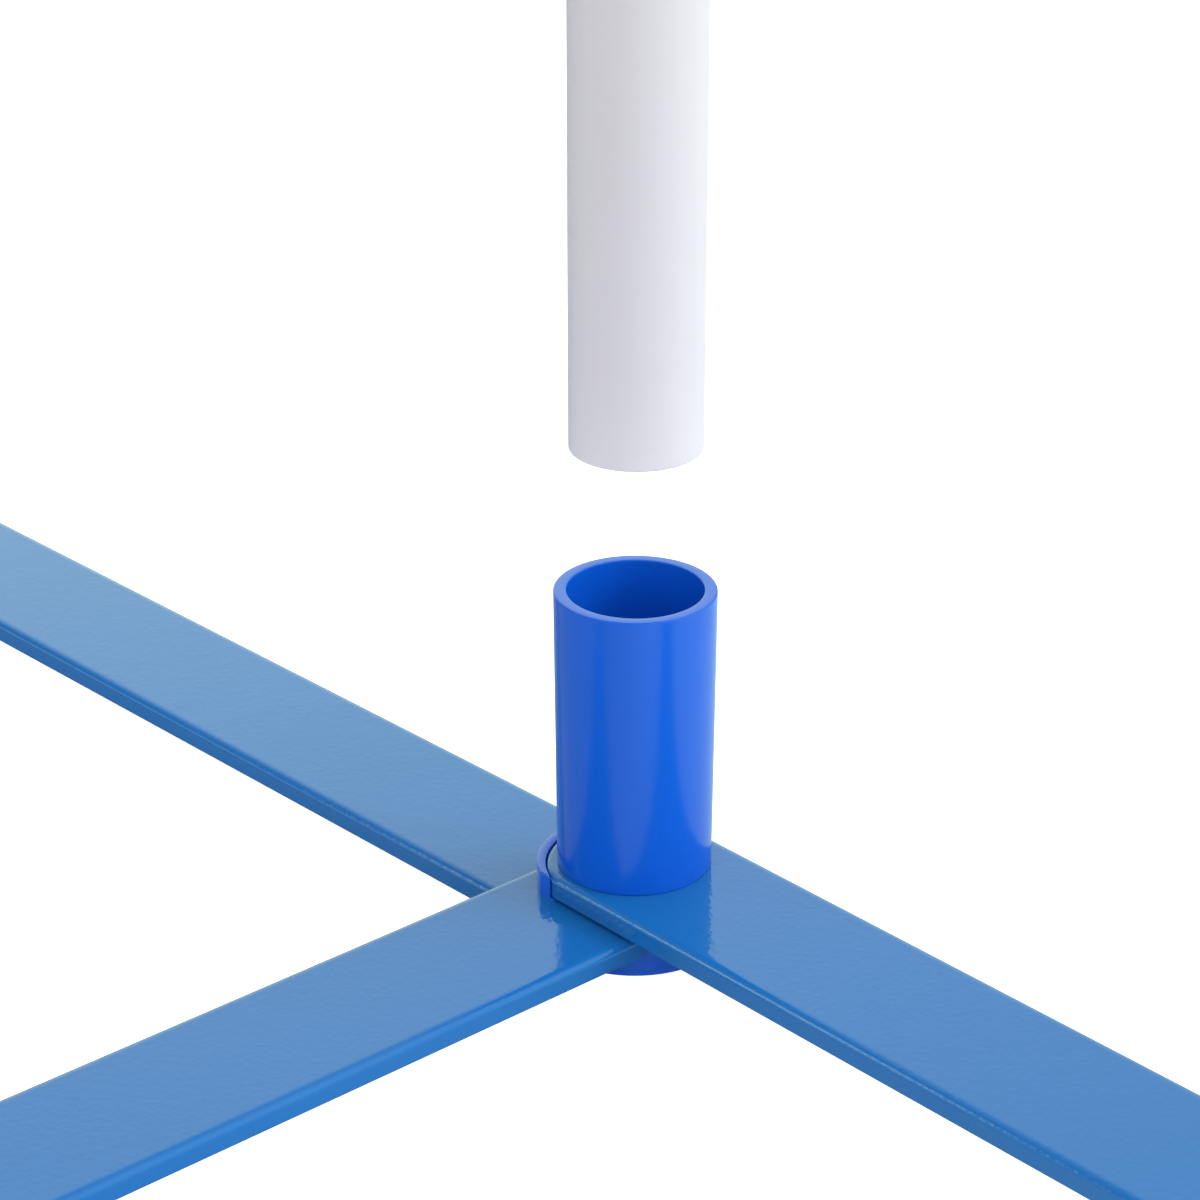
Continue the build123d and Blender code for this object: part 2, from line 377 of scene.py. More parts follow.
def vary_roughness(material, pattern, low, high):
    """Let a pattern move the roughness between two values."""
    tree = material.node_tree
    spread = node(tree, "ShaderNodeMapRange", values={"To Min": low, "To Max": high})
    spread.inputs["From Min"].default_value = NOISE_SPAN[0]
    spread.inputs["From Max"].default_value = NOISE_SPAN[1]
    join(tree, pattern, "Fac", spread, "Value")
    join(tree, spread, "Result", tree.nodes[material["shader"]], "Roughness")


def raise_bumps(material, bumps):
    """Stack several height patterns: (pattern, output, depth in metres)."""
    tree = material.node_tree
    last = None
    for pattern, output, depth in bumps:
        bump = node(tree, "ShaderNodeBump", values={"Strength": 1.0, "Distance": depth})
        join(tree, pattern, output, bump, "Height")
        if last is not None:
            join(tree, last, "Normal", bump, "Normal")
        last = bump
    join(tree, last, "Normal", tree.nodes[material["shader"]], "Normal")


def specks(material, per_metre, radius):
    """Sparse round grains: 1 on a grain, 0 elsewhere."""
    tree = material.node_tree
    where = node(tree, "ShaderNodeTexCoord")
    cells = node(
        tree, "ShaderNodeTexVoronoi", feature="F1", values={"Scale": per_metre}
    )
    join(tree, where, "Object", cells, "Vector")
    inside = node(
        tree,
        "ShaderNodeMapRange",
        interpolation_type="SMOOTHSTEP",
        values={"From Min": 0.0, "From Max": radius * per_metre, "To Min": 1.0, "To Max": 0.0},
    )
    join(tree, cells, "Distance", inside, "Value")
    chosen = node(tree, "ShaderNodeSeparateColor")
    join(tree, cells, "Color", chosen, "Color")
    rare = node(tree, "ShaderNodeMath", operation="GREATER_THAN")
    rare.inputs[1].default_value = RARE_GRAIN
    join(tree, chosen, "Red", rare, 0)
    both = node(tree, "ShaderNodeMath", operation="MULTIPLY")
    join(tree, inside, "Result", both, 0)
    join(tree, rare, "Value", both, 1)
    return both


def tint_base(material, ramp, grains=None, grain_color=None):
    """Send a colour ramp to the base colour, with specks of another colour."""
    tree = material.node_tree
    shader = tree.nodes[material["shader"]]
    if grains is None:
        join(tree, ramp, "Color", shader, "Base Color")
        return
    mix = node(tree, "ShaderNodeMix", data_type="RGBA")
    mix.inputs[7].default_value = (*grain_color, 1.0)
    join(tree, grains, "Value", mix, 0)
    join(tree, ramp, "Color", mix, 6)
    join(tree, mix, 2, shader, "Base Color")


print("finish helpers ready")

# %% [markdown]
# ### Azure gloss paint
#
# The bars are dipped or powder coated, which leaves a thick, wet-looking skin.
# A long slow ripple bends reflections a little, and orange peel about a
# millimetre across gives them their ragged edges.

# %% Azure gloss paint
AZURE = (0.0095, 0.148, 0.465)
AZURE_DEEP = (0.0085, 0.140, 0.443)
PAINTED_DUST = (0.02, 0.10, 0.30)
DUST_PER_METRE = 150.0
DUST_RADIUS = 0.00022
DUST_DEPTH = 0.00007
RIPPLE_DEPTH = 0.00004
PEEL_DEPTH = 0.000045

blue_paint = finish("azure_gloss_paint", AZURE, 0.07)
slow = grain(blue_paint, 18.0, detail=3.0)
peel = grain(blue_paint, 620.0, detail=1.5)
swell = grain(blue_paint, 85.0, detail=1.0)
dust = specks(blue_paint, DUST_PER_METRE, DUST_RADIUS)
tint_base(blue_paint, shade(blue_paint, slow, AZURE_DEEP, AZURE), dust, PAINTED_DUST)
vary_roughness(blue_paint, slow, 0.05, 0.09)
raise_bumps(
    blue_paint,
    [
        (swell, "Fac", RIPPLE_DEPTH),
        (peel, "Fac", PEEL_DEPTH),
        (dust, "Value", DUST_DEPTH),
    ],
)
print("azure gloss paint ready")

# %% [markdown]
# ### Royal-blue moulded plastic
#
# The socket comes out of a polished mould, so its wall is almost clean: a soft
# sheen, very faint flow marks up its height, a few pale crumbs, and a little
# light spreading inside the plastic.

# %% Royal-blue moulded plastic
ROYAL = (0.0040, 0.112, 0.660)
ROYAL_DEEP = (0.0034, 0.106, 0.638)
CRUMB = (0.25, 0.40, 0.85)
CRUMBS_PER_METRE = 120.0
CRUMB_RADIUS = 0.00020
CRUMB_DEPTH = 0.00004
FLOW_DEPTH = 0.000012
PORE_DEPTH = 0.000002

socket_plastic = finish(
    "royal_blue_moulding",
    ROYAL,
    0.18,
    Subsurface_Weight=0.06,
    Subsurface_Scale=0.0015,
)
flow = grain(socket_plastic, 60.0, detail=3.0, stretch=(1.0, 1.0, 0.12))
pores = grain(socket_plastic, 1500.0, detail=2.0)
crumbs = specks(socket_plastic, CRUMBS_PER_METRE, CRUMB_RADIUS)
tint_base(socket_plastic, shade(socket_plastic, flow, ROYAL_DEEP, ROYAL), crumbs, CRUMB)
vary_roughness(socket_plastic, flow, 0.15, 0.22)
raise_bumps(
    socket_plastic,
    [
        (flow, "Fac", FLOW_DEPTH),
        (pores, "Fac", PORE_DEPTH),
        (crumbs, "Value", CRUMB_DEPTH),
    ],
)
print("royal-blue plastic ready")

# %% [markdown]
# ### Dull-blue moulded plastic
#
# The rims, spacers and feet are cheaper mouldings of a greyer blue. Their skin is
# mottled, so both the colour and the sheen drift a little over a few millimetres.

# %% Dull-blue moulded plastic
DULL_BLUE = (0.018, 0.140, 0.750)
DULL_BLUE_DEEP = (0.014, 0.124, 0.680)
MOTTLE_DEPTH = 0.000015
SPARK_DEPTH = 0.000004

rim_plastic = finish(
    "dull_blue_moulding",
    DULL_BLUE,
    0.13,
    Subsurface_Weight=0.08,
    Subsurface_Scale=0.0015,
)
mottle = grain(rim_plastic, 240.0, detail=3.0)
spark = grain(rim_plastic, 2600.0, detail=2.0)
tint_base(rim_plastic, shade(rim_plastic, mottle, DULL_BLUE_DEEP, DULL_BLUE))
vary_roughness(rim_plastic, mottle, 0.10, 0.16)
raise_bumps(rim_plastic, [(mottle, "Fac", MOTTLE_DEPTH), (spark, "Fac", SPARK_DEPTH)])
print("dull-blue plastic ready")

# %% [markdown]
# ### White pipe, its caps, plated steel and rubber
#
# The pipe is drawn through a die, so its lines run straight up, and light goes
# well into its milky wall, which softens the shade across it. The caps are
# moulded and a touch greyer. Zinc plate is bright but cloudy, with a faint bloom.
# Rubber is nearly black, dull and finely pitted.

# %% White pipe and caps
PIPE_WHITE = (0.700, 0.684, 0.742)
PIPE_SHADE = (0.685, 0.669, 0.726)
THROUGH_PIPE = {
    "Subsurface_Weight": 0.9,
    "Subsurface_Scale": 0.005,
    "Subsurface_Radius": (1.0, 1.0, 1.0),
}
CAP_WHITE = (0.640, 0.640, 0.660)
CAP_SHADE = (0.605, 0.605, 0.625)
DRAWN_DEPTH = 0.000012
HAZE_DEPTH = 0.000014

white_pvc = finish("white_drawn_pipe", PIPE_WHITE, 0.36, **THROUGH_PIPE)
drawn = grain(white_pvc, 420.0, detail=2.0, stretch=(1.0, 1.0, 0.012))
clouds = grain(white_pvc, 14.0, detail=3.0)
tint_base(white_pvc, shade(white_pvc, clouds, PIPE_SHADE, PIPE_WHITE))
vary_roughness(white_pvc, drawn, 0.32, 0.42)
raise_bumps(white_pvc, [(drawn, "Fac", DRAWN_DEPTH)])

cap_plastic = finish("white_moulding", CAP_WHITE, 0.45)
haze = grain(cap_plastic, 300.0, detail=3.0)
tint_base(cap_plastic, shade(cap_plastic, haze, CAP_SHADE, CAP_WHITE))
vary_roughness(cap_plastic, haze, 0.40, 0.52)
raise_bumps(cap_plastic, [(haze, "Fac", HAZE_DEPTH)])

# %% Plated steel and rubber
ZINC = (0.74, 0.75, 0.77)
ZINC_BLOOM = (0.66, 0.66, 0.62)
RUBBER = (0.020, 0.020, 0.022)
RUBBER_GREY = (0.036, 0.036, 0.037)
BRUSH_DEPTH = 0.000006
PIT_DEPTH = 0.00004

zinc_steel = finish("bright_zinc_plate", ZINC, 0.3, Metallic=1.0)
bloom = grain(zinc_steel, 90.0, detail=4.0)
brush = grain(zinc_steel, 1800.0, detail=2.0)
tint_base(zinc_steel, shade(zinc_steel, bloom, ZINC_BLOOM, ZINC))
vary_roughness(zinc_steel, bloom, 0.22, 0.40)
raise_bumps(zinc_steel, [(brush, "Fac", BRUSH_DEPTH)])

black_rubber = finish("black_rubber", RUBBER, 0.8)
pits = grain(black_rubber, 1400.0, detail=3.0)
tint_base(black_rubber, shade(black_rubber, pits, RUBBER, RUBBER_GREY))
vary_roughness(black_rubber, pits, 0.70, 0.88)
raise_bumps(black_rubber, [(pits, "Fac", PIT_DEPTH)])

finish_of = {
    "blue_paint": blue_paint,
    "socket_plastic": socket_plastic,
    "rim_plastic": rim_plastic,
    "white_pvc": white_pvc,
    "cap_plastic": cap_plastic,
    "zinc_steel": zinc_steel,
    "black_rubber": black_rubber,
}
print("finishes:", ", ".join(sorted(finish_of)))

# %% [markdown]
# ## Two ways to make a piece
#
# Everything here is either turned or cut from plate. A turned piece is a closed
# half-profile taken once round its axis, and a rule for the radius can press it
# into a hexagon or cut a thread. A plate piece is a stack of outlines, one above
# another: pulling an outline in as it nears the top or bottom rounds the edge, and
# a narrow border laid round the flat face keeps that face flat to the light.

# %% From mesh to finished piece
SMOOTH_BELOW = math.radians(32)
pieces = {}


def complete(work, name, replaced, matrix):
    """Turn a bmesh in millimetres into a piece that rides and has its finish."""
    bmesh.ops.recalc_face_normals(work, faces=work.faces)
    work.transform(matrix)
    mesh = bpy.data.meshes.new(name)
    work.to_mesh(mesh)
    work.free()
    for face in mesh.polygons:
        face.use_smooth = True
    mesh.set_sharp_from_angle(angle=SMOOTH_BELOW)
    piece = bpy.data.objects.new(name, mesh)
    bpy.context.scene.collection.objects.link(piece)
    slot = slot_of[replaced]
    mesh.materials.append(finish_of[slot])
    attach(piece, body_of[replaced])
    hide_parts(replaced)
    pieces[name] = piece
    return piece


# %% Turning
def turn(profile, steps, radius_at=None):
    """Take a closed half-profile of (radius, height) once round the axis."""
    work = bmesh.new()
    columns = []
    for step in range(steps):
        angle = 2 * math.pi * step / steps
        column = []
        for radius, z in profile:
            if radius_at is not None:
                radius = radius_at(radius, z, angle)
            across = (radius * math.cos(angle), radius * math.sin(angle))
            column.append(work.verts.new((*across, z)))
        columns.append(column)
    count = len(profile)
    for step in range(steps):
        here = columns[step]
        there = columns[(step + 1) % steps]
        for i in range(count):
            j = (i + 1) % count
            if profile[i][0] > 0 or profile[j][0] > 0:
                work.faces.new((here[i], there[i], there[j], here[j]))
    bmesh.ops.remove_doubles(work, verts=work.verts, dist=1e-4)
    return work


def rounded(profile, corner, radius, steps=5):
    """Replace one corner of a half-profile by a quarter round."""
    before = Vector(profile[corner - 1])
    point = Vector(profile[corner])
    after = Vector(profile[(corner + 1) % len(profile)])
    start = point + (before - point).normalized() * radius
    end = point + (after - point).normalized() * radius
    curve = []
    for step in range(steps + 1):
        t = step / steps
        bend = start * (1 - t) ** 2 + point * 2 * t * (1 - t) + end * t**2
        curve.append(tuple(bend))
    return profile[:corner] + curve + profile[corner + 1 :]


def round_corners(profile, radii):
    """Round several corners: {index: radius}, counted on the plain profile."""
    for corner in sorted(radii, reverse=True):
        profile = rounded(profile, corner, radii[corner])
    return profile


def threaded(depth, pitch, low, high):
    """A radius rule that cuts a thread between two heights."""

    def radius_at(radius, z, angle):
        if radius == 0 or not low <= z <= high:
            return radius
        phase = (z / pitch - angle / (2 * math.pi)) % 1.0
        fade = min(1.0, (z - low) / pitch, (high - z) / pitch * 2)
        return radius - depth * fade * (1 - abs(2 * phase - 1))

    return radius_at


def hexagon(across_flats, angle):
    """Distance from the centre to the side of a hexagon, corner on +X."""
    sixth = math.pi / 3
    return across_flats / 2 / math.cos(angle % sixth - sixth / 2)


# %% Plate outlines
def arc(center, radius, start, end, steps):
    """Points on an arc, angles in degrees, both ends included."""
    points = []
    for step in range(steps + 1):
        angle = math.radians(start + (end - start) * step / steps)
        x = center[0] + radius * math.cos(angle)
        y = center[1] + radius * math.sin(angle)
        points.append((x, y))
    return points


def pull_in(loop, insets):
    """Move each point of an anticlockwise outline inwards by its own inset."""
    count = len(loop)
    moved = []
    for i, inset in enumerate(insets):
        point = Vector(loop[i])
        before = (point - Vector(loop[i - 1])).normalized()
        after = (Vector(loop[(i + 1) % count]) - point).normalized()
        normal_a = Vector((-before.y, before.x))
        normal_b = Vector((-after.y, after.x))
        share = 1 + normal_a.dot(normal_b)
        moved.append(tuple(point + (normal_a + normal_b) * inset / share))
    return moved


def ring(work, points, z):
    """A row of vertices at one height, or at one height for each point."""
    heights = z if isinstance(z, list) else [z] * len(points)
    return [work.verts.new((x, y, h)) for (x, y), h in zip(points, heights)]


def bridge(work, low, high, closed=True):
    """Faces between two rows of vertices of equal length."""
    count = len(low)
    for i in range(count if closed else count - 1):
        j = (i + 1) % count
        work.faces.new((low[i], low[j], high[j], high[i]))


def cover(work, outer, holes=()):
    """Fill the flat face inside an outline, leaving its holes open."""
    edges = []
    for row in (outer, *holes):
        for a, b in zip(row, row[1:] + row[:1]):
            found = work.edges.get((a, b))
            edges.append(found if found else work.edges.new((a, b)))
    bmesh.ops.triangle_fill(work, edges=edges, use_beauty=True)


print("making helpers ready")

# %% [markdown]
# ## The flat bars
#
# Each bar is flat steel stock with round ends, dipped in thick paint. Rolling
# leaves a broad soft shoulder along the top. On one long side the paint has
# gathered in a fine bead where the shoulder meets the flat side, and that bead
# shows as a thin bright line. A bevel modifier can't draw such an edge, so the
# edge is given as a short list of insets and heights, and each becomes an
# outline in the stack.

# %% Bar sizes from the frame
BAR = size("link_bar_right")
BAR_HALF = BAR.y / 2
BAR_THICK = BAR.z
BAR_REACH = -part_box("link_bar_right")[0].x / MM
END_OFFSET = 2.0
END_RADIUS = BAR_REACH + END_OFFSET
PIVOT_HOLE = 9.08
END_STEPS = 44
HOLE_STEPS = 64
CORNER_HOLD = 0.9
BORDER = 2.7
BEAD_END = 5.1
BEAD_FADE = 5.0
print("bar", round(BAR_HALF * 2, 2), "x", round(BAR_THICK, 2), "mm")

# %% The bar's edge, from the underside to the top
LOWER_EDGE = [(1.60, 0.0), (1.00, 0.0), (0.62, 0.06), (0.34, 0.22), (0.16, 0.45), (0.07, 0.80)]
BEAD_EDGE = [
    (0.07, 1.2),
    (0.07, 3.95),
    (0.05, 4.08),
    (0.00, 4.20),
    (0.02, 4.34),
    (0.10, 4.44),
    (0.20, 4.47),
    (0.30, 4.47),
    (0.40, 4.53),
    (0.52, 4.68),
    (0.70, 4.86),
    (0.95, 5.04),
    (1.28, 5.21),
    (1.70, 5.34),
    (2.25, 5.40),
]
SOFT_EDGE = [
    (0.07, 1.2),
    (0.05, 3.00),
    (0.03, 3.35),
    (0.02, 3.60),
    (0.03, 3.82),
    (0.07, 4.04),
    (0.14, 4.26),
    (0.24, 4.46),
    (0.37, 4.65),
    (0.53, 4.82),
    (0.72, 4.97),
    (0.96, 5.11),
    (1.26, 5.23),
    (1.66, 5.34),
    (2.25, 5.40),
]
END_EDGE = [
    (0.06, 1.20),
    (0.03, 3.20),
    (0.02, 3.90),
    (0.02, 4.20),
    (0.03, 4.45),
    (0.06, 4.65),
    (0.10, 4.80),
    (0.16, 4.93),
    (0.24, 5.04),
    (0.33, 5.13),
    (0.44, 5.21),
    (0.58, 5.28),
    (0.74, 5.34),
    (0.95, 5.38),
    (1.25, 5.40),
]


def bar_outline(length):
    """Plan of a bar from one hole at 0 to the other at length."""
    corner = math.sqrt(END_RADIUS**2 - BAR_HALF**2) - END_OFFSET
    sweep = math.degrees(math.asin(BAR_HALF / END_RADIUS))
    hold = CORNER_HOLD - corner
    far = arc((length - END_OFFSET, 0), END_RADIUS, -sweep, sweep, END_STEPS)
    near = arc((END_OFFSET, 0), END_RADIUS, 180 - sweep, 180 + sweep, END_STEPS)
    far_side = [(length - hold, BAR_HALF), (hold, BAR_HALF)]
    near_side = [(hold, -BAR_HALF), (length - hold, -BAR_HALF)]
    return far + far_side + near + near_side


def edge_at(point, length, bead_side):
    """The edge's insets and heights at one point of the outline.

    The bead belongs to one straight side and the soft shoulder to the other. Both
    change to the smaller rounding of the cut end within a few millimetres.
    """
    x, y = point
    past_end = max(-x, x - length, 0.0)
    fade = min(max((past_end - BEAD_END) / BEAD_FADE, 0.0), 1.0)
    end_share = fade * fade * (3 - 2 * fade)
    side = BEAD_EDGE if y * bead_side > 0 else SOFT_EDGE
    return [
        (a + (b - a) * end_share, c + (d - c) * end_share)
        for (a, c), (b, d) in zip(side, END_EDGE)
    ]


def paint_bar(node_name, hole, angle, length, bead_side, screw_end=False):
    """Make one painted bar with its edges and both holes."""
    work = bmesh.new()
    outline = bar_outline(length)
    edges = [edge_at(point, length, bead_side) for point in outline]
    rows = []
    for inset, z in [(BORDER, 0.0)] + LOWER_EDGE:
        rows.append(ring(work, pull_in(outline, [inset] * len(outline)), z))
    for step in range(len(SOFT_EDGE)):
        insets = [edge[step][0] for edge in edges]
        heights = [edge[step][1] for edge in edges]
        rows.append(ring(work, pull_in(outline, insets), heights))
    rows.append(ring(work, pull_in(outline, [BORDER] * len(outline)), BAR_THICK))
    for low, high in zip(rows, rows[1:]):
        bridge(work, low, high)
    tops = []
    bottoms = []
    for x in (0.0, length):
        if screw_end and x > 0:
            walls = [(SCREW_HOLE, 0.0), (SCREW_HOLE, SINK_FOOT), (SINK_RADIUS, BAR_THICK)]
        else:
            walls = [(PIVOT_HOLE, 0.0), (PIVOT_HOLE, BAR_THICK)]
        circles = []
        for radius, z in walls:
            circles.append(ring(work, arc((x, 0), radius, 0, 360, HOLE_STEPS)[:-1], z))
        for low, high in zip(circles, circles[1:]):
            bridge(work, low, high)
        bottoms.append(circles[0])
        tops.append(circles[-1])
    cover(work, rows[0], bottoms)
    cover(work, rows[-1], tops)
    matrix = place(hole, foot_of(node_name), angle)
    return complete(work, f"painted_{node_name}", node_name, matrix)


# %% Link bars and side bars
SCREW_HOLE = 2.5
SINK_RADIUS = 4.8
SINK_FOOT = BAR_THICK - (SINK_RADIUS - SCREW_HOLE)

hub = pivot["center"]
link_angle = {side: bearing(hub, pivot[side]) for side in ("left", "right")}
link_length = {side: (pivot[side] - hub).length / MM for side in ("left", "right")}
bead_side = {"left": 1, "right": -1}
for side in ("left", "right"):
    paint_bar(
        f"link_bar_{side}", hub, link_angle[side], link_length[side], bead_side[side]
    )
    print("link bar", side, "holes", round(link_length[side], 1), "mm apart")

screw_at = {side: middle(f"foot_screw_{side}") for side in SIDES}
side_angle = {side: bearing(pivot[side], screw_at[side]) for side in SIDES}
side_length = {}
for side in SIDES:
    way = screw_at[side] - pivot[side]
    side_length[side] = math.hypot(way.x, way.y) / MM
    paint_bar(
        f"side_bar_{side}", pivot[side], side_angle[side], side_length[side], -1, True
    )
    print("side bar", side, "points", round(math.degrees(side_angle[side]), 1), "degrees")

# %% [markdown]
# ## Rims and feet
#
# A plastic rim hooks round the end of every bar. It has a thin floor that keeps
# the next bar from rubbing, and a crescent wall that hides the cut end of the
# steel. A foot is the same shape on a block thick enough to reach the ground, so
# one maker serves both: a base outline, a crescent on top of it, and a round
# hole.

# %% The crescent wall
RIM_RADIUS = 22.0
WALL_CUT = 6.2
POCKET_RADIUS = END_RADIUS + 0.15
WALL_STEPS = 48
CORNER_EASE = 0.35
WALL_EDGE = [(0.0, 0.5), (0.02, 0.32), (0.09, 0.17), (0.21, 0.06), (0.38, 0.0)]
INNER_EDGE = [(0.16, 0.0), (0.05, 0.05), (0.0, 0.16)]


def wall_lines():
    """Outer and inner lines of the crescent, from +Y round by -X to -Y."""
    flat = math.degrees(math.asin(BAR_HALF / RIM_RADIUS))
    outer = [(-WALL_CUT, BAR_HALF)]
    outer += arc((0, 0), RIM_RADIUS, 180 - flat, 180 + flat, WALL_STEPS)
    outer += [(-WALL_CUT, -BAR_HALF)]
    held = RIM_RADIUS * math.cos(math.radians(flat)) - CORNER_EASE
    outer.insert(1, (-held, BAR_HALF))
    outer.insert(-1, (-held, -BAR_HALF))
    reach = END_OFFSET + WALL_CUT
    sweep = math.degrees(math.acos(reach / POCKET_RADIUS))
    inner_steps = len(outer) - 1
    inner = arc((END_OFFSET, 0), POCKET_RADIUS, 180 - sweep, 180 + sweep, inner_steps)
    return outer, inner


def hooked_end(base_rest, base_height, wall_top, holes, chamfer=0.0):
    """A base with a crescent wall round one end, in one closed skin.

    base_rest is the rest of the base's outline, from the wall's -Y end round
    by +X to its +Y end. holes is a list of (radius, depth from the pocket).
    """
    work = bmesh.new()
    outer, inner = wall_lines()
    count = len(outer)
    outline = outer + base_rest
    rows = [ring(work, outline, base_height)]
    if chamfer:
        rows.insert(0, ring(work, outline, chamfer))
        rows.insert(0, ring(work, pull_in(outline, [chamfer] * len(outline)), 0.0))
    else:
        rows.insert(0, ring(work, outline, 0.0))
    for low, high in zip(rows, rows[1:]):
        bridge(work, low, high)
    wall = [rows[-1][:count]]
    for inset, drop in WALL_EDGE:
        moved = pull_in(outline, [inset] * len(outline))[:count]
        moved[0] = (-WALL_CUT, moved[0][1])
        moved[-1] = (-WALL_CUT, moved[-1][1])
        wall.append(ring(work, moved, wall_top - drop))
    for back, drop in INNER_EDGE:
        grown = []
        for x, y in inner:
            way = Vector((x - END_OFFSET, y)).normalized() * back
            grown.append((x + way.x, y + way.y))
        wall.append(ring(work, grown, wall_top - drop))
    wall.append(ring(work, inner, base_height))
    for low, high in zip(wall, wall[1:]):
        bridge(work, low, high, closed=False)
    for end in (0, -1):
        work.faces.new([row[end] for row in wall])
    rim = rows[-1]
    floor_loop = wall[-1][::-1] + rim[:1] + rim[count:][::-1] + rim[count - 1 : count]
    floor_holes = []
    under_holes = []
    for radius, depth in holes:
        circle = arc((0, 0), radius, 0, 360, HOLE_STEPS)[:-1]
        top = ring(work, circle, base_height)
        low = ring(work, circle, base_height - depth)
        bridge(work, low, top)
        floor_holes.append(top)
        if depth < base_height:
            cover(work, low)
        else:
            under_holes.append(low)
    cover(work, floor_loop, floor_holes)
    cover(work, rows[0], under_holes)
    return work


# %% Rims
WEB = 0.5
WEB_RADIUS = 17.0
WEB_CORNER = 5.1
PITCH = size("side_rim_center").z


def make_rim(node_name, point, angle):
    """A rim: its floor is a disc joined to the crescent."""
    turn_from = math.degrees(math.acos(-WEB_CORNER / WEB_RADIUS))
    rest = [(-WEB_CORNER, -BAR_HALF)]
    rest += arc((0, 0), WEB_RADIUS, -turn_from, turn_from, WALL_STEPS)
    rest += [(-WEB_CORNER, BAR_HALF)]
    work = hooked_end(rest, WEB, PITCH, [(PIVOT_HOLE, WEB)])
    matrix = place(point, foot_of(node_name), angle)
    return complete(work, f"moulded_{node_name}", node_name, matrix)


for side in ("left", "right"):
    make_rim(f"link_rim_inner_{side}", hub, link_angle[side])
    make_rim(f"link_rim_outer_{side}", pivot[side], link_angle[side] + math.pi)
for side in SIDES:
    make_rim(f"side_rim_{side}", pivot[side], side_angle[side])
print("rims made:", sum("rim" in name for name in pieces))

# %% [markdown]
# A foot carries the far end of each side bar. Its block is chamfered where it
# meets the ground, and its wall hooks round the bar's end just as a rim does. A
# countersunk screw holds the bar down in it.

# %% Feet
FOOT_LENGTH = 22.0
FOOT_CORNER = 2.0
CORNER_STEPS = 6
FOOT_CHAMFER = 1.0
FOOT_BASE = size("foot_center").z - BAR_THICK
SCREW_TIP = 12.1
SCREW_DEPTH = SCREW_TIP - BAR_THICK


def make_foot(node_name, point, angle):
    """A foot: a block with rounded back corners under the hooked end."""
    back = FOOT_LENGTH - FOOT_CORNER
    side_y = BAR_HALF - FOOT_CORNER
    rest = [(-WEB_CORNER, -BAR_HALF)]
    rest += arc((back, -side_y), FOOT_CORNER, -90, 0, CORNER_STEPS)
    rest += arc((back, side_y), FOOT_CORNER, 0, 90, CORNER_STEPS)
    rest += [(-WEB_CORNER, BAR_HALF)]
    top = size(node_name).z
    work = hooked_end(rest, FOOT_BASE, top, [(SCREW_HOLE, SCREW_DEPTH)], FOOT_CHAMFER)
    matrix = place(point, foot_of(node_name), angle)
    return complete(work, f"moulded_{node_name}", node_name, matrix)


for side in SIDES:
    make_foot(f"foot_{side}", screw_at[side], side_angle[side] + math.pi)
print("feet are", round(FOOT_BASE, 2), "mm thick under the bar")

# %% Foot screws
# The head sinks flush into the bar, with a hexagonal recess for a key.
SCREW_HEAD = 4.7
SCREW_SHANK = 2.4
SCREW_LENGTH = size("foot_screw_center").z
RECESS = 2.6
RECESS_DEPTH = 1.5
SCREW_PITCH = 1.25
SCREW_THREAD = 0.42
SCREW_ROWS = 60

top = SCREW_LENGTH
cone_foot = top - (SCREW_HEAD - SCREW_SHANK)
profile = [
    (0.0, top - RECESS_DEPTH - 0.5),
    (RECESS / 2, top - RECESS_DEPTH),
    (RECESS / 2, top - 0.12),
    (RECESS / 2 + 0.12, top),
    (SCREW_HEAD - 0.35, top),
    (SCREW_HEAD - 0.05, top - 0.08),
    (SCREW_HEAD, top - 0.25),
    (SCREW_HEAD - 0.15, top - 0.45),
    (SCREW_SHANK, cone_foot - 0.2),
]
for step in range(SCREW_ROWS + 1):
    z = cone_foot - 0.4 - (cone_foot - 1.0) * step / SCREW_ROWS
    profile.append((SCREW_SHANK, z))
profile += [(SCREW_SHANK - 0.5, 0.0), (0.0, 0.0)]
screw_thread = threaded(SCREW_THREAD, SCREW_PITCH, 0.7, cone_foot - 0.4)


def screw_radius(radius, z, angle):
    """Hexagonal recess in the head, thread on the shank."""
    if z > cone_foot and 0 < radius < RECESS:
        return hexagon(RECESS, angle) + (radius - RECESS / 2)
    return screw_thread(radius, z, angle)


for side in SIDES:
    name = f"foot_screw_{side}"
    spot = place(screw_at[side], foot_of(name), side_angle[side])
    complete(turn(profile, steps=48, radius_at=screw_radius), f"plated_{name}", name, spot)
print("screws are", round(SCREW_LENGTH, 1), "mm long")

# %% [markdown]
# ## Sockets
#
# A socket is a plastic cup, a touch wider at the mouth so that it leaves its
# mould. Its mouth has a flat face between two small rounds. The shank below it
# passes through the bars and is what they turn about, and a pocket in its foot
# takes the square neck of the pivot bolt.

# %% Sockets
SHANK = 9.0
BORE = 15.1
MOUTH = 18.0
CUP_FOOT = 17.4
SHANK_LENGTH = 3 * PITCH
FLOOR_AT = SHANK_LENGTH + 4.0
TOP = size("socket_center").z
NECK_POCKET = 6.95
POCKET_DEPTH = 3.2
BOLT_HOLE = 4.2

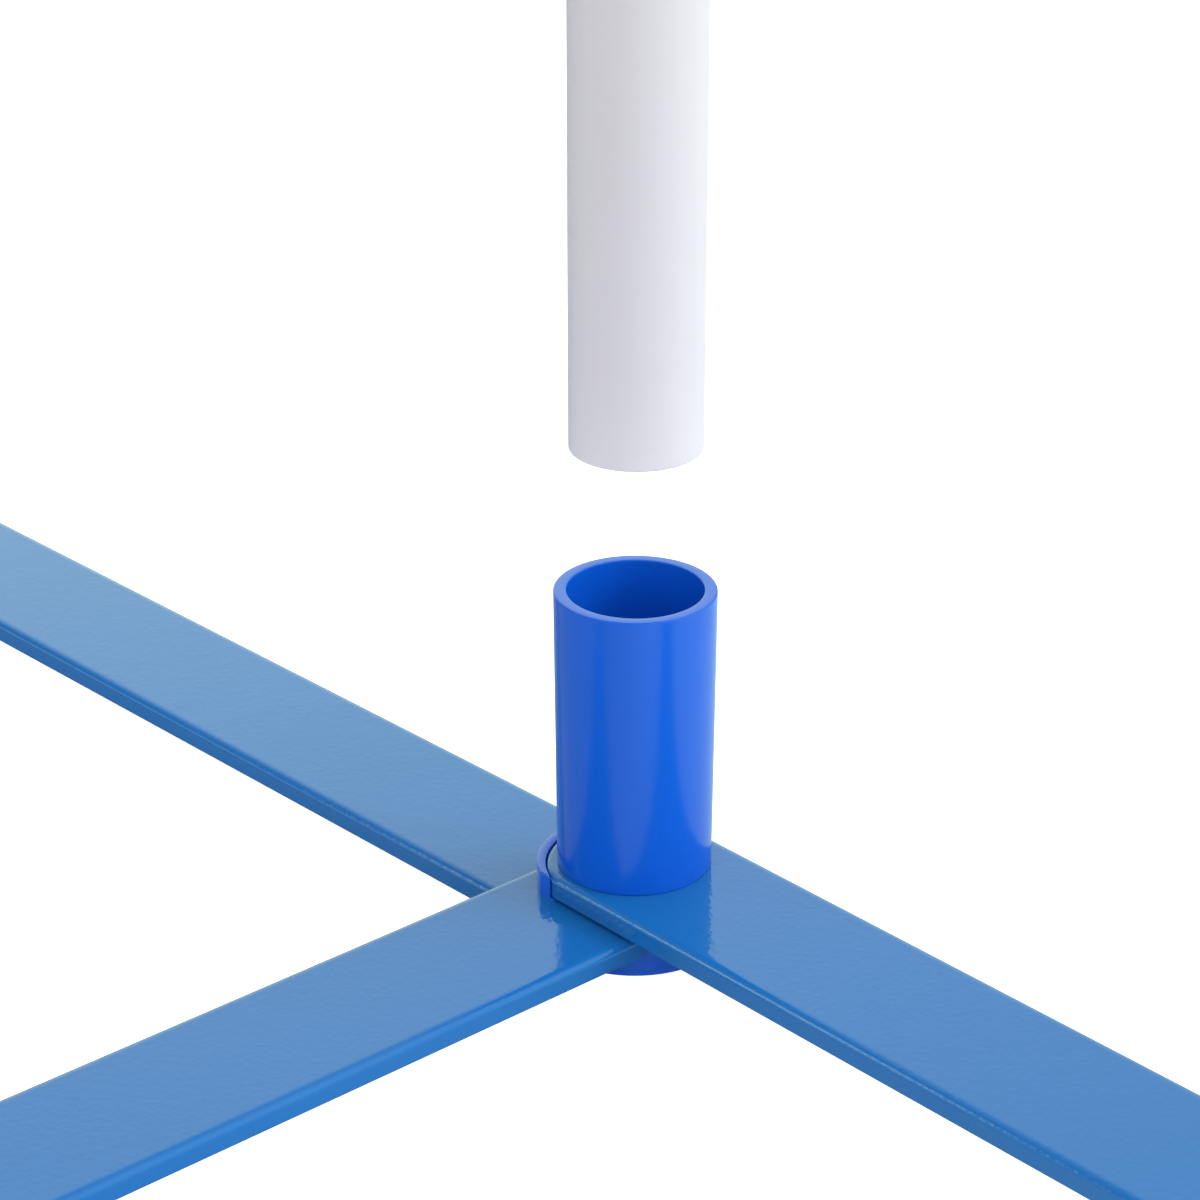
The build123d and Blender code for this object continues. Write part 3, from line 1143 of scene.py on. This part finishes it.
plain = [
    (SHANK, 0.0),
    (SHANK, SHANK_LENGTH),
    (CUP_FOOT, SHANK_LENGTH),
    (MOUTH, TOP),
    (BORE, TOP),
    (BORE, FLOOR_AT),
    (BOLT_HOLE, FLOOR_AT),
    (BOLT_HOLE, POCKET_DEPTH),
    (NECK_POCKET, POCKET_DEPTH),
    (NECK_POCKET, 0.0),
]
cup = round_corners(plain, {2: 0.35, 3: 0.5, 4: 0.35, 5: 1.2})
for side in SIDES:
    name = f"socket_{side}"
    spot = place(pivot[side], foot_of(name))
    complete(turn(cup, steps=144), f"moulded_{name}", name, spot)
print("socket stands", round(TOP - SHANK_LENGTH, 1), "mm above the bars")

# %% [markdown]
# ## Pivot hardware
#
# Under each stack sits the wide flat head of the pivot bolt, on a rubber pad. At
# the bottom of the cup its thread comes up through a washer and a hexagon nut,
# where it can be seen by looking down into an empty socket.

# %% Pivot bolts
BOLT = 4.0
HEAD = 13.0
HEAD_THICK = 1.6
NECK = 9.6
NECK_TOP = HEAD_THICK + 3.0
NECK_CORNER = 1.36
BOLT_TOP = size("pivot_bolt_center").z
THREAD_FROM = 18.0
THREAD_PITCH = 1.25
THREAD_DEPTH = 0.55
THREAD_ROWS = 110

profile = [
    (0.0, 0.0),
    (HEAD - 0.7, 0.0),
    (HEAD - 0.15, 0.15),
    (HEAD, 0.7),
    (HEAD - 0.15, 1.35),
    (HEAD - 0.7, HEAD_THICK),
    (NECK / 2 + 0.01, HEAD_THICK),
    (NECK / 2 + 0.01, NECK_TOP - 0.3),
    (NECK / 2, NECK_TOP),
    (BOLT, NECK_TOP + 0.01),
]
thread_end = BOLT_TOP - 0.8
for step in range(THREAD_ROWS + 1):
    z = THREAD_FROM + (thread_end - THREAD_FROM) * step / THREAD_ROWS
    profile.append((BOLT, z))
profile += [(BOLT - 0.8, BOLT_TOP), (0.0, BOLT_TOP)]
bolt_thread = threaded(THREAD_DEPTH, THREAD_PITCH, THREAD_FROM + 0.1, BOLT_TOP - 0.4)


def bolt_radius(radius, z, angle):
    """Square neck under the head, thread near the tip."""
    if HEAD_THICK <= z <= NECK_TOP and NECK / 2 <= radius < HEAD - 1:
        square = NECK / 2 / max(abs(math.cos(angle)), abs(math.sin(angle)))
        return min(square, NECK / 2 * NECK_CORNER)
    return bolt_thread(radius, z, angle)


for side in SIDES:
    name = f"pivot_bolt_{side}"
    spot = place(pivot[side], foot_of(name))
    complete(turn(profile, steps=64, radius_at=bolt_radius), f"plated_{name}", name, spot)

# %% Nuts and washers
NUT_FLATS = 13.0
NUT_HEIGHT = size("pivot_nut_center").z
NUT_BORE = 4.05
NUT_CONE = 0.15
NUT_CONE_SLOPE = 1.75
WASHER = 8.0
WASHER_THICK = size("pivot_washer_center").z


def nut_radius(radius, z, angle):
    """Hexagon whose corners are turned off in a shallow cone, both ends."""
    if radius < NUT_FLATS / 2:
        return radius
    from_end = min(z, NUT_HEIGHT - z)
    cone = NUT_FLATS / 2 - NUT_CONE + from_end * NUT_CONE_SLOPE
    return min(hexagon(NUT_FLATS, angle), cone)


sides_up = []
for share in (0.0, 0.03, 0.06, 0.09, 0.12, 0.16, 0.5, 0.84, 0.88, 0.91, 0.94, 0.97, 1.0):
    sides_up.append((NUT_FLATS / 2, NUT_HEIGHT * share))
nut = [(NUT_BORE, 0.4), (NUT_BORE + 0.4, 0.0)] + sides_up
nut += [(NUT_BORE + 0.4, NUT_HEIGHT), (NUT_BORE, NUT_HEIGHT - 0.4)]
washer = [(BOLT_HOLE, 0.0), (WASHER, 0.0), (WASHER, WASHER_THICK), (BOLT_HOLE, WASHER_THICK)]
washer = round_corners(washer, {1: 0.1, 2: 0.35})
for side in SIDES:
    name = f"pivot_nut_{side}"
    spot = place(pivot[side], foot_of(name))
    complete(turn(nut, steps=120, radius_at=nut_radius), f"plated_{name}", name, spot)
    name = f"pivot_washer_{side}"
    spot = place(pivot[side], foot_of(name))
    complete(turn(washer, steps=72), f"plated_{name}", name, spot)
print("bolts, nuts and washers made")

# %% [markdown]
# A rubber pad under each pivot carries the set on the ground, and moulded rings in
# its underside help it grip. An outer socket clamps one bar fewer than the centre
# one, so a plastic spacer ring fills that place in its stack. Both are turned.

# %% Pads and spacers
PAD = size("base_pad_center").x / 2
PAD_THICK = size("base_pad_center").z
PAD_RIBS = (4.0, 7.0, 10.0)
GROOVE = 0.25
SPACER = size("spacer_left").x / 2
SPACER_THICK = size("spacer_left").z

pad = [(0.0, GROOVE)]
for rib in PAD_RIBS:
    pad += [(rib - 0.9, GROOVE), (rib - 0.7, 0.0), (rib + 0.7, 0.0), (rib + 0.9, GROOVE)]
pad += [(PAD - 1.6, GROOVE), (PAD - 1.4, 0.0), (PAD - 0.4, 0.0), (PAD, 0.4)]
pad += [(PAD, PAD_THICK - 0.15), (PAD - 0.15, PAD_THICK), (0.0, PAD_THICK)]
for side in SIDES:
    name = f"base_pad_{side}"
    complete(turn(pad, steps=96), f"rubber_{name}", name, place(pivot[side], foot_of(name)))

mid = SPACER_THICK / 2
spacer = [
    (PIVOT_HOLE, 0.0),
    (SPACER, 0.0),
    (SPACER, mid - 0.1),
    (SPACER - 0.12, mid),
    (SPACER, mid + 0.1),
    (SPACER, SPACER_THICK),
    (PIVOT_HOLE, SPACER_THICK),
]
spacer = round_corners(spacer, {1: 0.4, 5: 0.4})
for side in ("left", "right"):
    name = f"spacer_{side}"
    complete(turn(spacer, steps=120), f"moulded_{name}", name, place(pivot[side], foot_of(name)))
print("pads and spacers made")

# %% [markdown]
# ## Poles
#
# A pole is a metre of plain white pipe. Its sawn ends are lightly rounded, and a
# domed cap plugs the top. The pipe stays hollow right through, so the wall shows
# at the open lower end.

# %% Poles and caps
PIPE = size("pole_center").x / 2
PIPE_WALL = 2.0
PIPE_BORE = PIPE - PIPE_WALL
PIPE_LENGTH = size("pole_center").z
CAP = size("pole_cap_center").x / 2
CAP_THICK = 3.0
CAP_HEIGHT = size("pole_cap_center").z
CAP_ROUND = 2.0
CAP_STEPS = 8
PLUG = PIPE_BORE - 0.1

pipe = [(PIPE_BORE, 0.0), (PIPE, 0.0), (PIPE, PIPE_LENGTH), (PIPE_BORE, PIPE_LENGTH)]
pipe = round_corners(pipe, {0: 0.15, 1: 0.4, 2: 0.3})
under = CAP_HEIGHT - CAP_THICK
cap = [(0.0, 0.0), (PLUG - 0.6, 0.0), (PLUG, 0.8), (PLUG, under), (CAP, under)]
for step in range(CAP_STEPS + 1):
    bend = math.pi / 2 * step / CAP_STEPS
    radius = CAP - CAP_ROUND * (1 - math.cos(bend))
    cap.append((radius, CAP_HEIGHT - CAP_ROUND * (1 - math.sin(bend))))
cap += [(CAP - 3.5, CAP_HEIGHT), (0.0, CAP_HEIGHT)]
for side in SIDES:
    name = f"pole_{side}"
    spot = place(pivot[side], foot_of(name))
    complete(turn(pipe, steps=128), f"drawn_{name}", name, spot)
    name = f"pole_cap_{side}"
    spot = place(pivot[side], foot_of(name))
    complete(turn(cap, steps=128), f"moulded_{name}", name, spot)
print("pieces made:", len(pieces))
